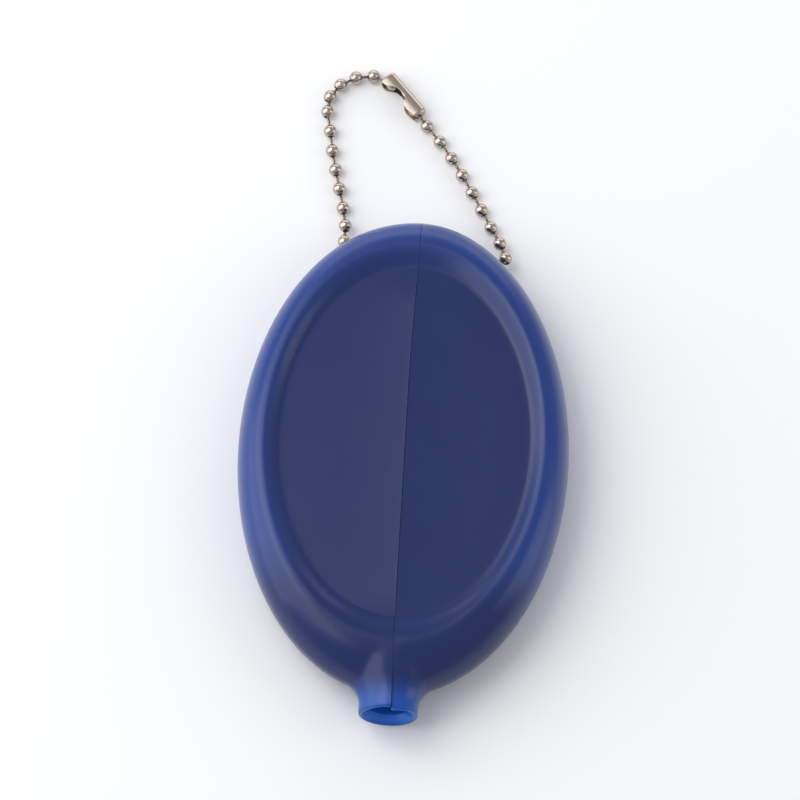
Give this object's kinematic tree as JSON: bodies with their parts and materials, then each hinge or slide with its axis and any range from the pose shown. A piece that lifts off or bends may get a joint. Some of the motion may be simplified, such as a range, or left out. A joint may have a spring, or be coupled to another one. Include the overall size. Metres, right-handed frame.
{
  "type": "squeeze coin purse",
  "caption": "Oval moulded vinyl coin purse with a slit face that opens when its ends are squeezed, a short open neck, and a ball chain loop closed by a folded clasp.",
  "frame": {"origin": "middle of the whole object's footprint on the surface that the back lies on", "axes": "+Z out of the slit face, +Y along the purse from the neck towards the chain, +X across"},
  "size_m": [0.06, 0.1276, 0.014],
  "materials": {
    "vinyl": "gloss",
    "nickel": "polished"
  },
  "bodies": {
    "shell": {"purse_shell": "vinyl", "links_in_purse": "nickel", "bead_14": "nickel", "bead_15": "nickel", "bead_16": "nickel", "bead_17": "nickel", "bead_18": "nickel", "bead_19": "nickel", "bead_20": "nickel", "bead_21": "nickel", "bead_22": "nickel"},
    "left_lip": {"left_face_half": "vinyl"},
    "right_lip": {"right_face_half": "vinyl"},
    "chain_fold_01": {"links_tier_01": "nickel", "bead_13": "nickel", "bead_23": "nickel"},
    "chain_fold_02": {"links_tier_02": "nickel", "bead_12": "nickel", "bead_24": "nickel"},
    "chain_fold_03": {"links_tier_03": "nickel", "bead_11": "nickel", "bead_25": "nickel"},
    "chain_fold_04": {"links_tier_04": "nickel", "bead_10": "nickel", "bead_26": "nickel"},
    "chain_fold_05": {"links_tier_05": "nickel", "bead_09": "nickel", "bead_27": "nickel"},
    "chain_fold_06": {"links_tier_06": "nickel", "bead_08": "nickel", "bead_28": "nickel"},
    "chain_fold_07": {"links_tier_07": "nickel", "bead_07": "nickel", "bead_29": "nickel"},
    "chain_fold_08": {"links_tier_08": "nickel", "bead_06": "nickel", "bead_30": "nickel"},
    "chain_fold_09": {"links_tier_09": "nickel", "bead_05": "nickel", "bead_31": "nickel"},
    "clasp_end": {"links_at_clasp": "nickel", "chain_clasp": "nickel", "bead_01": "nickel", "bead_02": "nickel", "bead_03": "nickel", "bead_04": "nickel", "bead_32": "nickel"}
  },
  "joints": [
    {"name": "left_lip_flex", "type": "hinge", "parent": "shell", "child": "left_lip", "pos_m": [-0.0232, -0.01287, 0.0128], "axis": [0, -1, 0], "range_deg": [0, 36], "stiffness_Nm_per_rad": 0.02},
    {"name": "right_lip_flex", "type": "hinge", "parent": "shell", "child": "right_lip", "pos_m": [0.0232, -0.01287, 0.0128], "axis": [0, 1, 0], "range_deg": [0, 36], "stiffness_Nm_per_rad": 0.02},
    {"name": "chain_fold_01_hinge", "type": "hinge", "parent": "shell", "child": "chain_fold_01", "pos_m": [0, 0.02557, 0.0034], "axis": [1, 0, 0], "range_deg": [-14, 14]},
    {"name": "chain_fold_02_hinge", "type": "hinge", "parent": "chain_fold_01", "child": "chain_fold_02", "pos_m": [0.00165, 0.02857, 0.00267], "axis": [0.9989, -0.0474, 0], "range_deg": [-14, 14]},
    {"name": "chain_fold_03_hinge", "type": "hinge", "parent": "chain_fold_02", "child": "chain_fold_03", "pos_m": [0.00105, 0.03182, 0.00193], "axis": [0.9982, -0.06, 0], "range_deg": [-14, 14]},
    {"name": "chain_fold_04_hinge", "type": "hinge", "parent": "chain_fold_03", "child": "chain_fold_04", "pos_m": [-0.00015, 0.03532, 0.0012], "axis": [0.997, -0.0773, 0], "range_deg": [-14, 14]},
    {"name": "chain_fold_05_hinge", "type": "hinge", "parent": "chain_fold_04", "child": "chain_fold_05", "pos_m": [-0.00155, 0.03882, 0.0012], "axis": [0.9954, -0.0953, 0], "range_deg": [-14, 14]},
    {"name": "chain_fold_06_hinge", "type": "hinge", "parent": "chain_fold_05", "child": "chain_fold_06", "pos_m": [-0.00295, 0.04232, 0.0012], "axis": [0.9934, -0.1148, 0], "range_deg": [-14, 14]},
    {"name": "chain_fold_07_hinge", "type": "hinge", "parent": "chain_fold_06", "child": "chain_fold_07", "pos_m": [-0.00435, 0.04582, 0.0012], "axis": [0.9906, -0.1368, 0], "range_deg": [-14, 14]},
    {"name": "chain_fold_08_hinge", "type": "hinge", "parent": "chain_fold_07", "child": "chain_fold_08", "pos_m": [-0.0057, 0.04932, 0.0012], "axis": [0.9852, -0.1715, 0], "range_deg": [-14, 14]},
    {"name": "chain_fold_09_hinge", "type": "hinge", "parent": "chain_fold_08", "child": "chain_fold_09", "pos_m": [-0.0072, 0.05277, 0.0012], "axis": [0.9764, -0.2159, 0], "range_deg": [-14, 14]},
    {"name": "clasp_end_hinge", "type": "hinge", "parent": "chain_fold_09", "child": "clasp_end", "pos_m": [-0.0083, 0.05572, 0.0012], "axis": [0.9676, -0.2526, 0], "range_deg": [-14, 14]}
  ],
  "couplings": [
    {"joint": "right_lip_flex", "follows": "left_lip_flex", "ratio": 1}
  ]
}
